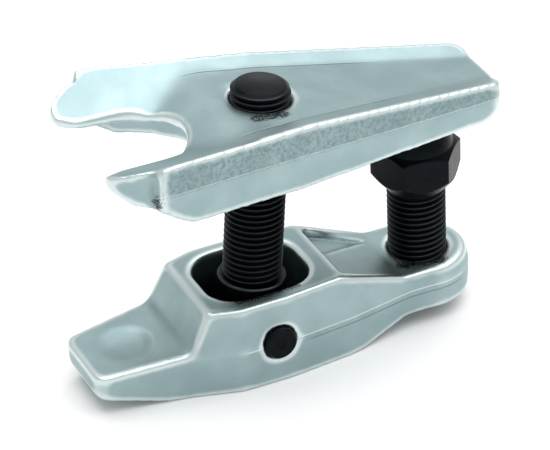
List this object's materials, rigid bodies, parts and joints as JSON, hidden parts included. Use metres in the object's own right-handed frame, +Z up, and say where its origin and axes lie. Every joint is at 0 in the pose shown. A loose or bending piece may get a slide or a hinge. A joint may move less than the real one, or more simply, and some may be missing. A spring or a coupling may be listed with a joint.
{
  "type": "ball joint separator",
  "caption": "Lever-type ball joint separator: forked upper arm on a threaded pivoting spindle, dished lower jaw, hexagon pressure screw.",
  "frame": {"origin": "on the bench, under the middle of the tool's length and width", "axes": "+X towards the pressure screw, jaws open towards -X; +Z up along the pressure screw"},
  "size_m": [0.1052, 0.0524, 0.0718],
  "materials": {
    "zinc_forging": "zinc plated forging, satin, with fine grain and a rough band above the seam",
    "black_oxide": "black oxide, oiled, satin"
  },
  "bodies": {
    "base": {"lower_arm": "zinc_forging", "pivot_pin": "black_oxide"},
    "column": {"spindle": "black_oxide"},
    "fork": {"fork_arm": "zinc_forging"},
    "screw": {"pressure_screw": "black_oxide"}
  },
  "joints": [
    {"name": "spindle_tilt", "type": "hinge", "parent": "base", "child": "column", "pos_m": [-0.00926, 0, 0.011], "axis": [0, -1, 0], "range_deg": [-22, 7]},
    {"name": "fork_height", "type": "slide", "parent": "column", "child": "fork", "axis": [0.0889, 0, 0.996], "range_m": [0, 0.003]},
    {"name": "screw_lift", "type": "slide", "parent": "base", "child": "screw", "axis": [0, 0, 1], "range_m": [-0.016, 0.005]}
  ],
  "couplings": [
    {"joint": "spindle_tilt", "follows": "screw_lift", "rad_per_m": 23.5}
  ]
}
